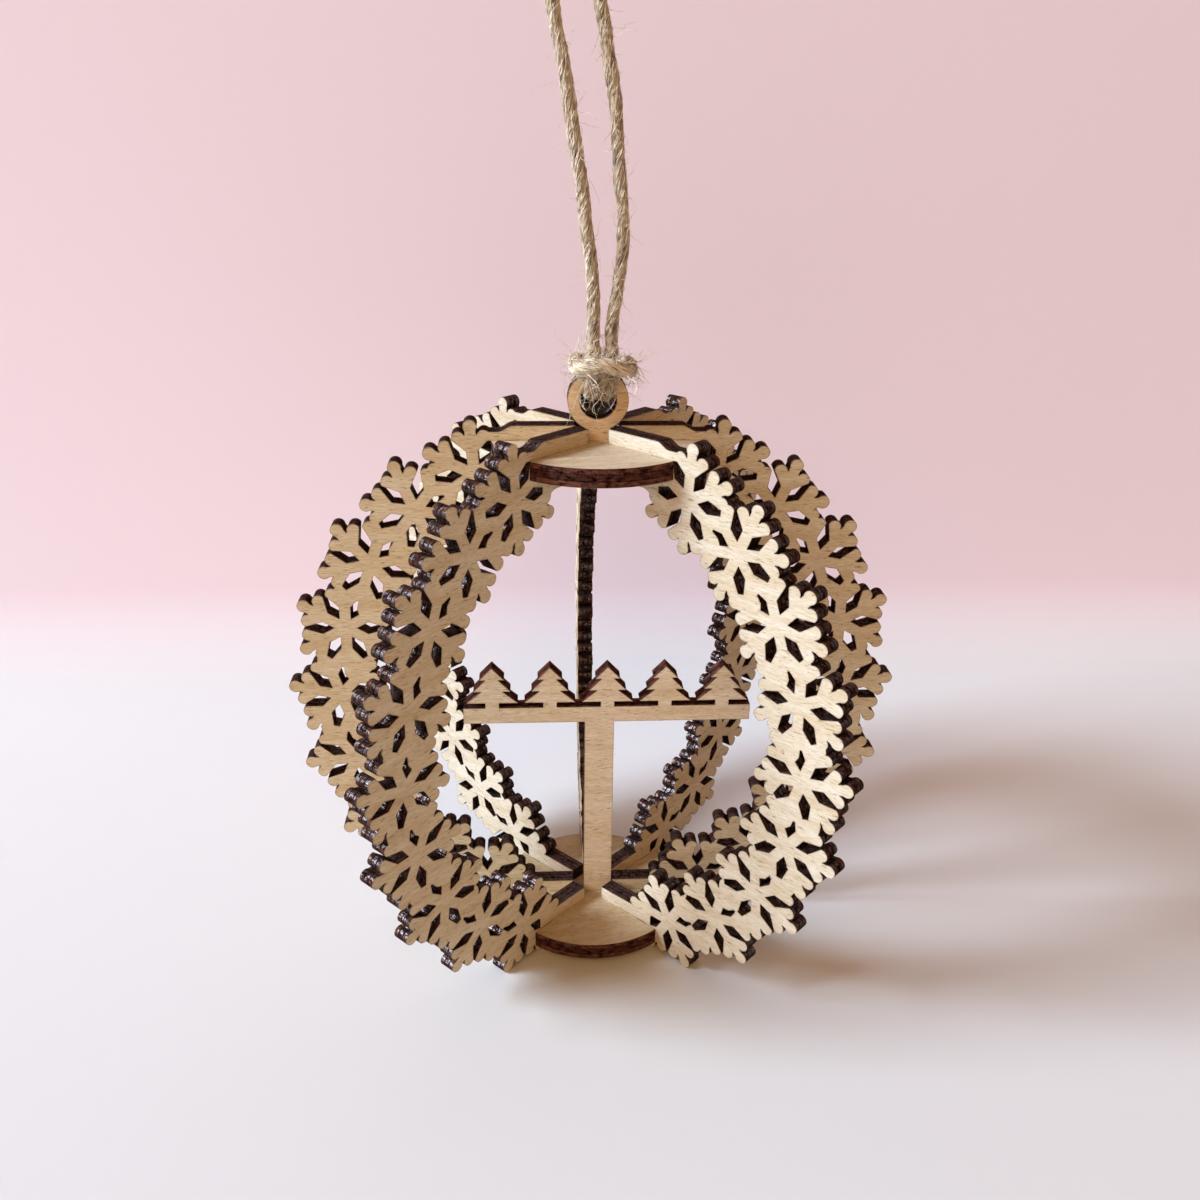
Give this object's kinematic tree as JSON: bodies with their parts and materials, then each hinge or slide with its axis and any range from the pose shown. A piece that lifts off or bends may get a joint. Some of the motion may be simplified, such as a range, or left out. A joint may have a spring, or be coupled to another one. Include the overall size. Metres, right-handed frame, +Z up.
{
  "type": "hanging bauble",
  "caption": "Openwork wooden hanging bauble: snowflake fins of thin plywood slotted into a top and a bottom disc, with an eyelet, a plaque on a stem and a twine loop.",
  "frame": {"origin": "where a hook carries the twine loop, between its two strands just below the end knot", "axes": "+Z up, against the pull of the hanging bauble; -Y to the open front that shows the plaque; +X to the right seen from the front"},
  "size_m": [0.1056, 0.0912, 0.1818],
  "materials": {
    "plywood_fin": "bare laser-cut plywood, pale faces with scorched edges",
    "plywood_disc": "bare laser-cut plywood, pale faces with scorched edges",
    "plywood_eyelet": "bare laser-cut plywood, pale faces with scorched edges",
    "plywood_plaque": "bare laser-cut plywood, pale faces with scorched edges",
    "jute_twine": "rough twisted natural fibre"
  },
  "bodies": {
    "twine": {"twine_left": "jute_twine", "twine_right": "jute_twine", "end_knot": "jute_twine"},
    "hitch": {"twine_hitch": "jute_twine"},
    "bauble": {"top_disc": "plywood_disc", "bottom_disc": "plywood_disc", "fin_back": "plywood_fin", "fin_back_left": "plywood_fin", "fin_back_right": "plywood_fin", "fin_left": "plywood_fin", "fin_right": "plywood_fin", "fin_front_left": "plywood_fin", "fin_front_right": "plywood_fin", "eyelet": "plywood_eyelet", "plaque": "plywood_plaque"}
  },
  "joints": [
    {"name": "twine_twist", "type": "hinge", "parent": "twine", "child": "hitch", "pos_m": [0.0046, 0, -0.0614], "axis": [0, 0, 1], "range_deg": [-150, 150]},
    {"name": "side_swing", "type": "hinge", "parent": "hitch", "child": "bauble", "pos_m": [0.0046, 0, -0.0614], "axis": [0, 1, 0], "range_deg": [-60, 60]}
  ]
}
